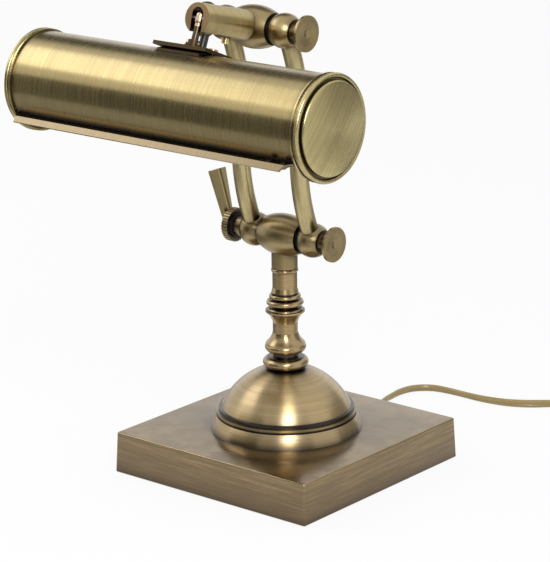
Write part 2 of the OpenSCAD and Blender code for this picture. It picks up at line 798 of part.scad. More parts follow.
// Boss: a stepped round foot on the saddle, drilled for the stem and its side screw
module tongue_block() color(DARK_BRASS) at_shade() difference() {
  translate([0, 0, saddle_top]) {
    cylinder(r = boss_r, h = boss_h);
    cylinder(r = boss_foot_r, h = boss_foot_h);
  }
  translate([0, 0, saddle_top - over]) cylinder(r = stem_r + seat_fit, h = boss_h + 2 * over);
  translate([0, 0, side_screw_z]) pivot_bore(side_screw_r + seat_fit);
}

module tongue_screw() color(BRASS) at_shade() translate([0, 0, side_screw_z]) rotate([0, 90, 0]) {
  translate([0, 0, -boss_r]) cylinder(r = side_screw_r, h = 2 * boss_r);
  translate([0, 0, -boss_r - side_screw_head_h]) cylinder(r = side_screw_head_r, h = side_screw_head_h);
}

module lead_sleeve() color(BLACK) at_shade() translate([0, sleeve_y, saddle_top]) difference() {
  union() {
    cylinder(r = sleeve_r, h = sleeve_h);
    cylinder(r = sleeve_foot_r, h = 1.5);
  }
  translate([0, 0, 2]) cylinder(r = lead_r - trim, h = sleeve_h);
}

module saddle_layer(low) {
  translate([-saddle_w / 2, -saddle_d / 2, low]) cube([saddle_w, saddle_d, saddle_t]);
}

module rivet_holes(r) {
  for (side = [-1, 1]) translate([side * saddle_rivet_x, 0, 0]) cylinder(r = r, h = saddle_top + over);
}

module saddle_plate() color(DARK_BRASS) at_shade() difference() {
  saddle_layer(saddle_low + saddle_t);
  rivet_holes(rivet_r + seat_fit);
}

// Lower layer, with a curved cradle under it that hugs the shade
module saddle_base() color(DARK_BRASS) at_shade() difference() {
  union() {
    saddle_layer(saddle_low);
    intersection() {
      translate([-cradle_w / 2, -saddle_d / 2, 0]) cube([cradle_w, saddle_d, shade_r + saddle_t]);
      translate([-cradle_w / 2, 0, 0]) rotate([0, 90, 0]) cylinder(r = shade_r + cradle_t, h = cradle_w);
    }
  }
  pivot_bore(shade_r + seat_fit);
  rivet_holes(rivet_r + seat_fit);
}

module saddle_rivets() color(BRASS) at_shade() for (side = [-1, 1]) translate([side * saddle_rivet_x, 0, 0]) {
  inner = shade_in_r - 1.2;
  translate([0, 0, inner]) cylinder(r = rivet_r, h = saddle_top - inner + rivet_head_h);
  translate([0, 0, saddle_top]) cylinder(r = rivet_head_r, h = rivet_head_h);
  translate([0, 0, inner - 0.6]) cylinder(r = rivet_head_r, h = 1.2);
}

// The shade's section seen along X, in the upright frame about its centre
module shade_section() {
  difference() {
    circle(shade_r);
    circle(shade_in_r);
    polygon([[0, 0], [-far * cos(front_edge), -far * sin(front_edge)], [-far, -2 * far], [far, -2 * far],
      [far * cos(back_edge), -far * sin(back_edge)]]);
  }
}

// Strip along the flat lip, seen along X
module lip_section(from_d, to_d, low, high) {
  translate([crease_y, crease_z]) rotate(lip_slant) translate([-to_d, low])
    square([to_d - from_d, high - low]);
}

module shade_upright() {
  translate([0, shade_y, shade_z]) children();
}

module lip_holes(r) {
  for (x = lip_rivet_x) translate([x, crease_y, crease_z]) rotate([lip_slant, 0, 0])
    translate([0, -lip_rivet_out, -bracket_t - over])
      cylinder(r = r, h = bracket_t + shade_wall + over + free_gap);
}

// Flat lip from the front edge outwards, and a hem turned down along it; both ends are cut back
module lip() {
  back = cap_x - collar_w - free_gap;
  bend = hem_slant - lip_slant;
  reach = lip_d + hem_d * cos(bend);
  front_d = reach + over;
  front = back - lip_cut * front_d / reach;
  fold = [-lip_d, shade_wall];
  tip = fold - hem_d * [cos(bend), sin(bend)];
  translate([0, crease_y, crease_z]) rotate([lip_slant, 0, 0]) intersection() {
    translate([-cap_x, 0, 0]) in_yz() linear_extrude(shade_w)
      polygon([[lip_root, 0], [lip_root, shade_wall], fold, tip, tip + shade_wall * [sin(bend), -cos(bend)],
        fold + shade_wall * [tan(bend / 2), -1]]);
    translate([0, 0, -far]) linear_extrude(2 * far)
      polygon([[-back, over], [back, over], [back, 0], [front, -front_d], [-front, -front_d], [-back, 0]]);
  }
}

module shade_body() color(BRASS) difference() {
  shade_upright() difference() {
    union() {
      translate([-cap_x, 0, 0]) in_yz() linear_extrude(shade_w) shade_section();
      lip();
    }
    lip_holes(lip_rivet_r + seat_fit);
  }
  at_shade() rivet_holes(rivet_r + seat_fit);
}

// Band of a sketch between two radii
module band(inner, outer, low, high) {
  translate([inner, low]) square([outer - inner, high - low]);
}

// End cap: a collar over the shade's end, a bead round its rim, and a raised disc with a round edge
module end_cap() {
  skirt_len = 4;
  skirt_t = 1;
  ring_t = 1.1;
  collar_in = 0.9;
  groove = 1;
  face_r = bead_r - 2 * bead_s - groove;
  face_round = 1.2;
  turned_x() {
    band(shade_r + seat_fit, bead_r - collar_in, cap_x - collar_w, bead_x);
    band(shade_r + seat_fit, bead_r - trim, cap_x - collar_w, cap_x - collar_w + ring_t);
    bar(bead_r - bead_s, cap_x, bead_x);
    translate([bead_r - bead_s, bead_x]) circle(bead_s);
    bar(face_r, cap_x, face_x - face_round);
    translate([face_r - face_round, face_x - face_round]) circle(face_round);
    bar(face_r - face_round, cap_x, face_x);
    band(shade_in_r - seat_fit - skirt_t, shade_in_r - seat_fit, cap_x - skirt_len, cap_x + skirt_t);
  }
}

module right_end_cap() color(BRASS) shade_upright() end_cap();

module left_end_cap() color(BRASS) shade_upright() mirror([1, 0, 0]) end_cap();

module lip_rivets() color(DARK_BRASS) shade_upright() for (x = lip_rivet_x) translate([x, crease_y, crease_z])
  rotate([lip_slant, 0, 0]) translate([0, -lip_rivet_out, 0]) {
    translate([0, 0, -bracket_t - 0.8]) cylinder(r = lip_rivet_r, h = bracket_t + shade_wall + 1.6);
    translate([0, 0, shade_wall]) cylinder(r = lip_rivet_head_r, h = 0.8);
    translate([0, 0, -bracket_t - 0.8]) cylinder(r = lip_rivet_head_r, h = 0.8);
  }

// Bracket: a strip under the lip, bent up to a plate that carries the lamp holder
module holder_bracket() color(STEEL) shade_upright() difference() {
  union() {
    translate([bracket_x - bracket_w, 0, 0]) in_yz() linear_extrude(bracket_w)
      lip_section(-bracket_in, 6, -bracket_t, 0);
    translate([bracket_x - bracket_t, 0, 0]) in_yz() linear_extrude(bracket_t) {
      circle(holder_r);
      intersection() {
        lip_section(-bracket_in, -2, -bracket_t, 40);
        translate([-shade_r, -shade_r]) square([2 * shade_r, shade_r]);
        circle(shade_in_r - 1);
      }
    }
  }
  lip_holes(lip_rivet_r + seat_fit);
  pivot_bore(nipple_r + seat_fit);
}

module lamp_holder() color([0.9, 0.88, 0.82]) shade_upright() difference() {
  turned_x() {
    bar(holder_r, holder_x, holder_x + holder_w);
    bar(nipple_r, holder_x, bracket_x + 3);
  }
  translate([holder_x - over, 0, 0]) rotate([0, 90, 0])
    cylinder(r = bulb_cap_r + free_gap, h = bulb_cap_w + 2 * over);
}

module bulb_cap() color([0.75, 0.73, 0.68]) shade_upright() turned_x() {
  bar(bulb_cap_r, bulb_x, holder_x + bulb_cap_w - 1);
  bar(2.4, bulb_x, holder_x + bulb_cap_w + 1);
}

// Hollow glass: a tube with a round end, drawn in to the screw cap
module glass_sketch(inset) {
  shoulder = 8;
  difference() {
    bar(bulb_r - inset, bulb_x - bulb_len + bulb_r, bulb_x - shoulder);
    bar(over, -far, far);
  }
  bar(over, bulb_x - bulb_len + bulb_r, bulb_x - shoulder);
  translate([0, bulb_x - bulb_len + bulb_r]) circle(bulb_r - inset);
  polygon([[0, bulb_x - shoulder - over], [bulb_r - inset, bulb_x - shoulder - over],
    [bulb_r - inset, bulb_x - shoulder], [bulb_cap_r - inset, bulb_x - inset], [0, bulb_x - inset]]);
}

module bulb_glass() color([0.95, 0.95, 0.92, 0.6]) shade_upright() difference() {
  turned_x() glass_sketch(0);
  turned_x() glass_sketch(glass_t);
}

// Gland: grips the back wall and tapers along the cord
module cord_gland() color(BLACK) translate([0, 0, gland_z]) rotate([-90, 0, 0]) {
  in_wall_y = base_in_w / 2;
  translate([0, 0, lead_inner_y]) cylinder(r = gland_flange_r, h = in_wall_y - lead_inner_y);
  translate([0, 0, lead_inner_y]) cylinder(r = gland_neck_r, h = gland_y - lead_inner_y + over);
  translate([0, 0, gland_y]) cylinder(r = gland_flange_r, h = gland_flange_t);
  translate([0, 0, gland_y + gland_flange_t])
    cylinder(r1 = gland_neck_r, r2 = gland_tip_r, h = gland_len - gland_flange_t);
}

// Section of the flat cord: points of an oval, turned by its roll
function oval(sides, first, half_w, half_h, roll) = [for (k = [0:sides - 1])
  let (a = first + k * 360 / sides, u = half_w * cos(a), v = half_h * sin(a))
  [u * cos(roll) - v * sin(roll), u * sin(roll) + v * cos(roll)]];
function flat_section(roll) = oval(8, 22.5, cord_w / 2, cord_t / 2, roll);
function rest_height(roll) = -min([for (p = flat_section(roll)) p[1]]);

// Direction of travel at point i of a path
function heading(path, i) = let (n = len(path) - 1, d = path[min(i + 1, n)] - path[max(i - 1, 0)]) d / norm(d);

// One ring of a tube: the section laid square to the path, with its height axis kept upright
function ring(path, i, section) = let (t = heading(path, i), side = cross(t, [0, 0, 1]), s = side / norm(side),
  up = cross(s, t)) [for (p = section) path[i] + p[0] * s + p[1] * up];

// A closed tube through rings of points
module tube(rings) {
  n = len(rings[0]);
  last = (len(rings) - 1) * n;
  points = [for (r = rings) each r];
  walls = [for (i = [0:len(rings) - 2], k = [0:n - 1]) let (a = i * n + k, b = i * n + (k + 1) % n)
    each [[a, b + n, b], [a, a + n, b + n]]];
  ends = [for (k = [1:n - 2]) each [[0, k, k + 1], [last, last + k + 1, last + k]]];
  polyhedron(points, concat(walls, ends));
}

function lead_point(p) = [p[0], p[1], p[2] + rest_height(p[3])];
lead_path = [for (p = LEAD) lead_point(p)];

module cord_lead() color(GOLD_CORD) {
  tube([for (i = [0:len(LEAD) - 1]) ring(lead_path, i, flat_section(LEAD[i][3]))]);
}

// Coil: spirals in on the table, climbs a layer where it turns back, and spirals out on top
function coil_radius(t) = t < coil_in_turns ? coil_r - coil_pitch * t :
  t < coil_in_turns + coil_reverse ? coil_in_r : coil_in_r + coil_pitch * (t - coil_in_turns - coil_reverse);
function coil_height(t) = let (c = min(max((t - coil_in_turns) / coil_reverse, 0), 1))
  coil_low_z + (coil_top_z - coil_low_z) * (1 - cos(180 * c)) / 2;
function coil_point(t) = [coil_x + coil_radius(t) * sin(360 * t), coil_y + coil_radius(t) * cos(360 * t),
  coil_height(t)];
coil_steps = coil_turns * coil_rings;
coil_path = concat([[coil_x - cord_w, coil_y + coil_r, coil_low_z]],
  [for (i = [0:coil_steps]) coil_point(i / coil_rings)],
  [[coil_x + coil_r, coil_end_y, coil_top_z]]);
coil_section = oval(coil_sides, 0, cord_t / 2, cord_w / 2, 0);
coil_tube = [for (i = [0:len(coil_path) - 1]) ring(coil_path, i, coil_section)];

// Least gap of the coil to itself, between points at least half a turn apart
near = 2 * cord_w;
coil_gap = min([for (i = [0:len(coil_path) - 1], j = [i + coil_rings / 2:1:len(coil_path) - 1])
  if (norm(coil_path[i] - coil_path[j]) < near) for (p = coil_tube[i], q = coil_tube[j]) norm(p - q)]);
function path_length(path) = len(path) < 2 ? 0 :
  let (steps = [for (i = [1:len(path) - 1]) norm(path[i] - path[i - 1])]) steps * [for (s = steps) 1];
echo(coil_gap = coil_gap, lead_length = path_length(lead_path), coil_length = path_length(coil_path));

module cord_coil() color(GOLD_CORD) tube(coil_tube);

// Strap round the bundle of turns at the front of the coil
module coil_tie() color(BLACK) {
  strap_w = 6;
  room = 0.2;
  in_r = coil_in_r - cord_t / 2 - room;
  out_r = coil_r + cord_t / 2 + room;
  top_z = coil_top_z + coil_half_h + room;
  translate([coil_x - strap_w / 2, coil_y, 0]) in_yz() linear_extrude(strap_w) difference() {
    translate([-out_r - tie_t, 0]) square([out_r - in_r + 2 * tie_t, top_z + tie_t]);
    translate([-out_r, tie_t]) square([out_r - in_r, top_z - tie_t]);
  }
}

// Short ways from the switch to the coil and from the coil's upper end to the plug
module cord_link() color(GOLD_CORD) {
  tube([for (i = [0:len(LINK) - 1]) ring(LINK, i, flat_section(LINK_ROLL[i]))]);
}

module cord_tail() color(GOLD_CORD) {
  tube([for (i = [0:len(TAIL) - 1]) ring(TAIL, i, flat_section(90))]);
}

// Rectangle with round corners
module round_rect(w, d, r) {
  translate([r - w / 2, -d / 2]) square([w - 2 * r, d]);
  translate([-w / 2, r - d / 2]) square([w, d - 2 * r]);
  for (x = [-1, 1], y = [-1, 1]) translate([x * (w / 2 - r), y * (d / 2 - r)]) circle(r);
}

module at_switch() {
  translate([switch_from[0] + switch_len / 2, switch_from[1], 0]) children();
}

module switch_base() color(GOLD_CORD) at_switch() difference() {
  linear_extrude(switch_h / 2) round_rect(switch_len, switch_w, switch_corner);
  translate([0, 0, 2]) linear_extrude(switch_h) round_rect(rocker_len + 14, rocker_w + 5, 2);
}

module rocker_axis() {
  translate([0, 0, switch_h - rocker_deep + 1]) rotate([90, 0, 0]) children();
}

module switch_cover() color(GOLD_CORD) at_switch() difference() {
  translate([0, 0, switch_h / 2]) linear_extrude(switch_h / 2)
    round_rect(switch_len, switch_w, switch_corner);
  translate([0, 0, switch_h / 2 - over]) linear_extrude(switch_h)
    square([rocker_len + 2 * free_gap, rocker_w + 2 * free_gap], center = true);
  rocker_axis()
    cylinder(r = rocker_pin_r + run_fit, h = rocker_w + 2 * (rocker_pin_len + free_gap), center = true);
}

// Rocker: a bowed key on two trunnions
module switch_rocker() color(BLACK) at_switch() {
  rocker_axis() rotate(rocker_tip) {
    cylinder(r = rocker_pin_r, h = rocker_w + 2 * rocker_pin_len, center = true);
    linear_extrude(rocker_w, center = true) difference() {
      intersection() {
        translate([0, -rocker_r + rocker_deep + rocker_out - 1]) circle(rocker_r);
        translate([-rocker_len / 2 + 0.6, -rocker_pin_r - 0.6])
          square([rocker_len - 1.2, rocker_deep + rocker_out + rocker_pin_r]);
      }
      translate([0, rocker_deep + rocker_out + 21.6]) circle(22);
    }
  }
}

module at_plug() {
  translate([plug_x, plug_y, plug_h / 2]) rotate([90, 0, 0]) children();
}

// Plug: a flat body that widens to its face, with a taper round the cord
module plug_body() color(GOLD_CORD) at_plug() {
  neck_w = 12;
  shoulder = plug_len * 0.55;
  translate([0, plug_h / 2, 0]) rotate([90, 0, 0]) linear_extrude(plug_h)
    polygon([[-neck_w / 2, 0], [neck_w / 2, 0], [plug_w / 2, shoulder], [plug_w / 2, plug_len],
      [-plug_w / 2, plug_len], [-plug_w / 2, shoulder]]);
  translate([0, 0, -plug_tail_len]) cylinder(r1 = gland_tip_r, r2 = neck_w / 2 - 0.6, h = plug_tail_len);
}

module plug_pins() color(STEEL) at_plug() for (side = [-1, 1])
  translate([side * plug_pin_gap / 2, 0, plug_len]) {
    cylinder(r = plug_pin_r, h = plug_pin_len - plug_pin_r);
    translate([0, 0, plug_pin_len - plug_pin_r]) sphere(plug_pin_r);
  }

base_shell();
base_weight();
base_sole();
tie_rod();
tie_nut();
tie_washer();
inner_lead();
dome_foot();
column_seat();
column_baluster();
column_neck();
lower_barrel();
lower_washers();
left_arm();
right_arm();
left_lower_knuckle();
right_lower_knuckle();
left_upper_knuckle();
right_upper_knuckle();
lower_bolt();
upper_bolt();
lower_cap();
upper_left_cap();
upper_right_cap();
clamp_spacer();
clamp_ring();
clamp_disc();
clamp_lever();
upper_barrel();
upper_washers();
head_tube();
tube_screw();
hinge_pin();
hinge_tongue();
tongue_block();
tongue_screw();
lead_sleeve();
saddle_plate();
saddle_base();
saddle_rivets();
shade_body();
left_end_cap();
right_end_cap();
lip_rivets();
holder_bracket();
lamp_holder();
bulb_cap();
bulb_glass();
cord_gland();
cord_lead();
switch_base();
switch_cover();
switch_rocker();
cord_link();
cord_coil();
coil_tie();
cord_tail();
plug_body();
plug_pins();
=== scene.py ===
"""Antique brass table lamp: finishes, cord, fine pieces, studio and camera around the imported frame.
Sizes are in metres, in the frame's own axes: X along the pivots, -Y the front, Z up."""

import math

import bmesh
import bpy
from mathutils import Matrix, Vector


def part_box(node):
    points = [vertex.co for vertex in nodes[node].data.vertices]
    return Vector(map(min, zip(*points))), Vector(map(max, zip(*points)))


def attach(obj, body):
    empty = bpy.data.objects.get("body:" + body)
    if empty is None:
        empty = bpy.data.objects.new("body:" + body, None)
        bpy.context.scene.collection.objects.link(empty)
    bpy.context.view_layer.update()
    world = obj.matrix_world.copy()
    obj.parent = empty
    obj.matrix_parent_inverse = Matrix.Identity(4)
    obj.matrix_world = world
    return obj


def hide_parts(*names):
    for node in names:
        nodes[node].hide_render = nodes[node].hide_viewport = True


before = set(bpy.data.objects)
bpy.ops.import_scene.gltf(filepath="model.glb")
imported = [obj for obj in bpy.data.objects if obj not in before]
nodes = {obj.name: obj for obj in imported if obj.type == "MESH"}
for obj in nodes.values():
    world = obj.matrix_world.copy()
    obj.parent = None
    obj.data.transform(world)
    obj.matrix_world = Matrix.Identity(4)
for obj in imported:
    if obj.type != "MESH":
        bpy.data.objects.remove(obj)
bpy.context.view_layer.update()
scene = bpy.context.scene
MM = 0.001

# Camera
PICTURE = (550, 562)
VIEW_AZIMUTH = math.radians(39.97)
VIEW_ELEVATION = math.radians(16.33)
VIEW_ROLL = math.radians(-0.755)
VIEW_DISTANCE = 1.58766
VIEW_SIDE_STEP = -0.00598
VIEW_TARGET_Z = 0.11903
FOCAL_PIXELS = 2602.16
SENSOR = 36.0


def make_camera():
    """The photograph's viewpoint: an orbit about the lamp, with a slight roll."""
    sin_a, cos_a = math.sin(VIEW_AZIMUTH), math.cos(VIEW_AZIMUTH)
    sin_e, cos_e = math.sin(VIEW_ELEVATION), math.cos(VIEW_ELEVATION)
    back = Vector((sin_a * cos_e, -cos_a * cos_e, sin_e))
    right = Vector((cos_a, sin_a, 0))
    up = Vector((-sin_a * sin_e, cos_a * sin_e, cos_e))
    sin_r, cos_r = math.sin(VIEW_ROLL), math.cos(VIEW_ROLL)
    right_rolled = cos_r * right + sin_r * up
    up_rolled = cos_r * up - sin_r * right
    place = right * VIEW_SIDE_STEP + Vector((0, 0, VIEW_TARGET_Z)) + back * VIEW_DISTANCE
    lens = bpy.data.cameras.new("camera")
    lens.sensor_fit = "VERTICAL"
    lens.sensor_height = SENSOR
    lens.lens = SENSOR * FOCAL_PIXELS / PICTURE[1]
    lens.clip_end = 20
    camera = bpy.data.objects.new("camera", lens)
    scene.collection.objects.link(camera)
    turn = Matrix((right_rolled, up_rolled, back)).transposed()
    camera.matrix_world = Matrix.Translation(place) @ turn.to_4x4()
    scene.camera = camera


make_camera()


# Mesh helpers
SMOOTH_ANGLE = math.radians(32)


def mesh_object(name, points, faces):
    """A new smooth object whose folds stay sharp."""
    mesh = bpy.data.meshes.new(name)
    mesh.from_pydata([tuple(p) for p in points], [], faces)
    mesh.validate()
    work = bmesh.new()
    work.from_mesh(mesh)
    bmesh.ops.recalc_face_normals(work, faces=work.faces)
    work.to_mesh(mesh)
    work.free()
    mesh.shade_smooth()
    mesh.set_sharp_from_angle(angle=SMOOTH_ANGLE)
    piece = bpy.data.objects.new(name, mesh)
    scene.collection.objects.link(piece)
    return piece


def loft(rings):
    """Points and faces of a skin through rings of equal counts, closed at both ends."""
    count = len(rings[0])
    points = [p for ring in rings for p in ring]
    faces = []
    for i in range(len(rings) - 1):
        a, b = i * count, (i + 1) * count
        for k in range(count):
            n = (k + 1) % count
            faces.append((a + k, a + n, b + n, b + k))
    last = (len(rings) - 1) * count
    faces.append(tuple(range(count - 1, -1, -1)))
    faces.append(tuple(range(last, last + count)))
    return points, faces


def arc(centre, radius, start, end, steps):
    """Points of an arc in a plane, angles in degrees."""
    turns = [math.radians(start + (end - start) * i / steps) for i in range(steps + 1)]
    return [(centre[0] + radius * math.cos(t), centre[1] + radius * math.sin(t)) for t in turns]


# Cord: the route of the frame's cord solids, [x, y, lift, roll] in millimetres and degrees
CORD_W = 5.2
CORD_T = 3.2
LOBE_R = CORD_T / 2
LOBE_OUT = CORD_W / 2 - LOBE_R
GLAND_TIP = (0, 93.5, 7)
LEAD = [
    (0, 93.5, 5.4, 0), (-0.8, 99.3, 5.2, 0), (-3.2, 104.6, 4.6, 0), (-7, 109.1, 3.6, 0),
    (-11.2, 112.4, 2.6, 5), (-15.5, 115.7, 1.7, 10), (-19.2, 119.8, 0.9, 20), (-21.7, 125, 0.3, 35),
    (-22.9, 131, 0, 45), (-23.7, 139, 0, 55), (-24.4, 148, 0, 60), (-22.8, 157.6, 0, 60),
    (-18, 164.6, 0, 60), (-11, 169, 0, 60), (-2.5, 170.5, 0, 55), (9.5, 170.8, 0, 50),
    (21.5, 170.5, 0, 55), (33.5, 171.4, 0, 65), (45.5, 174.2, 0, 80), (56.5, 180, 0, 90),
    (66, 187.5, 0, 85), (74.5, 195.5, 0, 55), (84, 202, 2.4, 20), (91, 205, 4.8, 0), (97, 205, 4.8, 0),
]
SWITCH_END_X = 153
LINK_STRAIGHT = 5
COIL_R = 36
COIL_Y = 169
COIL_X = 184.74
COIL_PITCH = 3.8
COIL_TURNS = 8.25
COIL_REVERSE = 0.5
COIL_LOW_Z = 3.34
COIL_TOP_Z = 8.615
COIL_STEPS = 40
TAIL_DROPS = (5.4, 8.4, 12.4, 16.4)
PLUG_TAIL_Y = 149.6
PLUG_Z = 6.8
CORD_STEPS = 4
LOBE_STEPS = 7


def rest_height(roll):
    """Height of the cord's centre when it lies on the table, rolled by so many degrees."""
    return LOBE_R + LOBE_OUT * abs(math.sin(math.radians(roll)))


def coil_point(turn):
    """Spirals in on the table, climbs a layer where it turns back, and spirals out on top."""
    turns_in = (COIL_TURNS - COIL_REVERSE) / 2
    inner = COIL_R - turns_in * COIL_PITCH
    past = turn - turns_in
    if past < 0:
        radius = COIL_R - COIL_PITCH * turn
    else:
        radius = inner + COIL_PITCH * max(past - COIL_REVERSE, 0)
    climb = (1 - math.cos(math.pi * min(max(past / COIL_REVERSE, 0), 1))) / 2
    angle = 2 * math.pi * turn
    z = COIL_LOW_Z + (COIL_TOP_Z - COIL_LOW_Z) * climb
    return (COIL_X + radius * math.sin(angle), COIL_Y + radius * math.cos(angle), z, 90)


def smooth_way(knots, steps):
    """A Catmull-Rom curve through knots of any width."""
    way = []
    for i in range(len(knots) - 1):
        a, b, c, d = (knots[min(max(i + k, 0), len(knots) - 1)] for k in (-1, 0, 1, 2))
        for s in range(steps):
            t = s / steps
            way.append(tuple(
                0.5 * (2 * q + (r - p) * t + (2 * p - 5 * q + 4 * r - w) * t * t
                       + (3 * q - p - 3 * r + w) * t ** 3)
                for p, q, r, w in zip(a, b, c, d)))
    return way + [knots[-1]]


def cord_way():
    """The whole cord from the gland's tip to the plug's taper: points with roll, in millimetres."""
    lead = [(x, y, lift + (LOBE_R if lift else rest_height(roll)), roll) for x, y, lift, roll in LEAD]
    lead[0] = (*GLAND_TIP, 0)
    start_y = COIL_Y + COIL_R
    switch_z = lead[-1][2]
    link_x = COIL_X - CORD_W
    middle = (SWITCH_END_X + link_x) / 2
    link = [(SWITCH_END_X, start_y, switch_z, 0), (SWITCH_END_X + LINK_STRAIGHT, start_y, switch_z, 10),
            (middle, start_y, (switch_z + COIL_LOW_Z) / 2, 45),
            (link_x - LINK_STRAIGHT, start_y, COIL_LOW_Z, 80), (link_x, start_y, COIL_LOW_Z, 90)]
    count = round(COIL_TURNS * COIL_STEPS)
    coil = [coil_point(i / COIL_STEPS) for i in range(count + 1)]
    tail_x = COIL_X + COIL_R
    tail_heights = (COIL_TOP_Z, COIL_TOP_Z, (COIL_TOP_Z + PLUG_Z) / 2, PLUG_Z)
    tail = [(tail_x, COIL_Y - drop, z, 90) for drop, z in zip(TAIL_DROPS, tail_heights)]
    tail.append((tail_x, PLUG_TAIL_Y, PLUG_Z, 90))
    return smooth_way(lead, CORD_STEPS) + smooth_way(link, CORD_STEPS) + coil + smooth_way(tail, CORD_STEPS)


def cord_section():
    """Outline of the flat twin cord: two lobes side by side with a groove between them."""
    half = math.degrees(math.acos(-LOBE_OUT / LOBE_R))
    right_lobe = arc((LOBE_OUT, 0), LOBE_R, -half, half, LOBE_STEPS)
    left_lobe = arc((-LOBE_OUT, 0), LOBE_R, 180 - half, 180 + half, LOBE_STEPS)
    return right_lobe + left_lobe


def make_cord():
    """One smooth cord in place of the frame's four runs, lifted wherever it would sink into the table."""
    way = cord_way()
    path = [Vector(p[:3]) * MM for p in way]
    section = cord_section()
    rings = []
    for i, centre in enumerate(path):
        heading = (path[min(i + 1, len(path) - 1)] - path[max(i - 1, 0)]).normalized()
        side = heading.cross(Vector((0, 0, 1))).normalized()
        up = side.cross(heading)
        roll = math.radians(way[i][3])
        across = side * math.cos(roll) + up * math.sin(roll)
        over = up * math.cos(roll) - side * math.sin(roll)
        ring = [centre + across * (u * MM) + over * (v * MM) for u, v in section]
        sunk = min(0, min(p.z for p in ring))
        rings.append([p - Vector((0, 0, sunk)) for p in ring])
    piece = mesh_object("mains_cord", *loft(rings))
    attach(piece, "stand")
    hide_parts("cord_lead", "cord_link", "cord_coil", "cord_tail")


make_cord()


# Material helpers, with the mix node's colour sockets
MIX_FACTOR = 0
MIX_COLOURS = (6, 7)
MIX_RESULT = 2
BAND_EDGE = 0.15
FACING = (0.90, 0.97)
BUMP_DEPTH = 0.0001


def new_material(name):
    """A material with the usual shader, and its node tree."""
    material = bpy.data.materials.new(name)
    material.use_nodes = True
    return material, material.node_tree


def add(tree, kind, values=None, **settings):
    """A node of that kind, with its settings and its unlinked inputs."""
    made = tree.nodes.new("ShaderNode" + kind)
    for key, value in settings.items():
        setattr(made, key, value)
    for key, value in (values or {}).items():
        made.inputs[key].default_value = value
    return made


def mix_colour(tree, factor, first, second):
    """Mixes two colours, each a socket or a constant, by a factor's socket."""
    made = add(tree, "Mix", data_type="RGBA")
    tree.links.new(factor, made.inputs[MIX_FACTOR])
    for place, value in zip(MIX_COLOURS, (first, second)):
        if isinstance(value, bpy.types.NodeSocket):
            tree.links.new(value, made.inputs[place])
        else:
            made.inputs[place].default_value = (*value, 1)
    return made.outputs[MIX_RESULT]


def ramp(tree, value, low, high, to_low, to_high):
    """Maps low..high to to_low..to_high and stops at both ends."""
    made = add(tree, "MapRange", {"From Min": low, "From Max": high, "To Min": to_low, "To Max": to_high})
    tree.links.new(value, made.inputs["Value"])
    return made.outputs["Result"]


def noise(tree, scale, detail=3.0, roughness=0.55, turn=(0, 0, 0)):
    """Noise in the lamp's own coordinates, with cells per metre along each axis."""
    place = add(tree, "TexCoord")
    turned = add(tree, "Mapping", {"Rotation": turn}, vector_type="POINT")
    spread = add(tree, "Mapping", {"Scale": scale}, vector_type="POINT")
    made = add(tree, "TexNoise", {"Scale": 1.0, "Detail": detail, "Roughness": roughness})
    tree.links.new(place.outputs["Object"], turned.inputs["Vector"])
    tree.links.new(turned.outputs["Vector"], spread.inputs["Vector"])
    tree.links.new(spread.outputs["Vector"], made.inputs["Vector"])
    return made.outputs["Fac"]


def between(tree, axis, low, high):
    """1 between two places along an axis in millimetres, 0 outside them."""
    place = add(tree, "TexCoord")
    split = add(tree, "SeparateXYZ")
    both = add(tree, "Math", operation="MULTIPLY")
    tree.links.new(place.outputs["Object"], split.inputs[0])
    along = split.outputs[axis]
    tree.links.new(ramp(tree, along, (low - BAND_EDGE) * MM, low * MM, 0, 1), both.inputs[0])
    tree.links.new(ramp(tree, along, high * MM, (high + BAND_EDGE) * MM, 1, 0), both.inputs[1])
    return both.outputs[0]


def facing(tree, direction):
    """1 on the faces that look along a direction, 0 on the others."""
    place = add(tree, "TexCoord")
    along = add(tree, "VectorMath", {1: direction}, operation="DOT_PRODUCT")
    tree.links.new(place.outputs["Normal"], along.inputs[0])
    return ramp(tree, along.outputs["Value"], *FACING, 0, 1)


def bump(tree, height, strength):
    made = add(tree, "Bump", {"Strength": strength, "Distance": BUMP_DEPTH})
    tree.links.new(height, made.inputs["Height"])
    return made.outputs["Normal"]


def dark(colour, share):
    return tuple(c * share for c in colour)


# Antique brass
FINE = 1500
ALONG = 14
BROAD = 0.38
GRAIN_X = (FINE, ALONG, ALONG)
GRAIN_Y = (ALONG, FINE, ALONG)
GRAIN_Z = (ALONG, ALONG, FINE)
SHORT_GRAIN_Z = (50, 50, FINE)
ARM_GRAIN = (900, 900, 60)
SCREW_GRAIN = (700, 700, 700)
CLOUD = (38, 38, 38)
DIAGONAL = (math.radians(-50), 0, 0)
ACROSS = 0.25
FINE_SPREAD, FINE_DARK = (0.4, 0.6), 0.45
BROAD_SPREAD, BROAD_DARK = (0.42, 0.6), 0.5
CLOUD_SPREAD, CLOUD_DARK, CLOUD_SHARE = (0.45, 0.75), 0.62, 0.3
ROUGH_SPREAD, ROUGH_LESS, ROUGH_MORE = (0.25, 0.75), 0.05, 0.1
BRUSH_BUMP = 0.05
LACQUER_ROUGHNESS = 0.24
LACQUER_IOR = 1.8
SHADE_SAMPLES = 8
# Lighter edges: partly worn brass, partly painted highlight.
EDGE_REACH, WEAR_AND_HIGHLIGHT_SPAN = 0.0012, 0.45
# Painted shadow near other parts, over a wide reach.
PAINTED_SHADOW_REACH, PAINTED_SHADOW_SPREAD = 0.022, (0.45, 1.0)
CORNER_SPREAD = (0.5, 0.95)
# Dark tone of corners, creases and the dome's grooves: partly oxide, partly painted shade.
PATINA_AND_SHADE = (0.030, 0.021, 0.012)
# Light tone of worn edges and of painted highlights.
WORN_AND_HIGHLIGHT = (0.72, 0.58, 0.31)
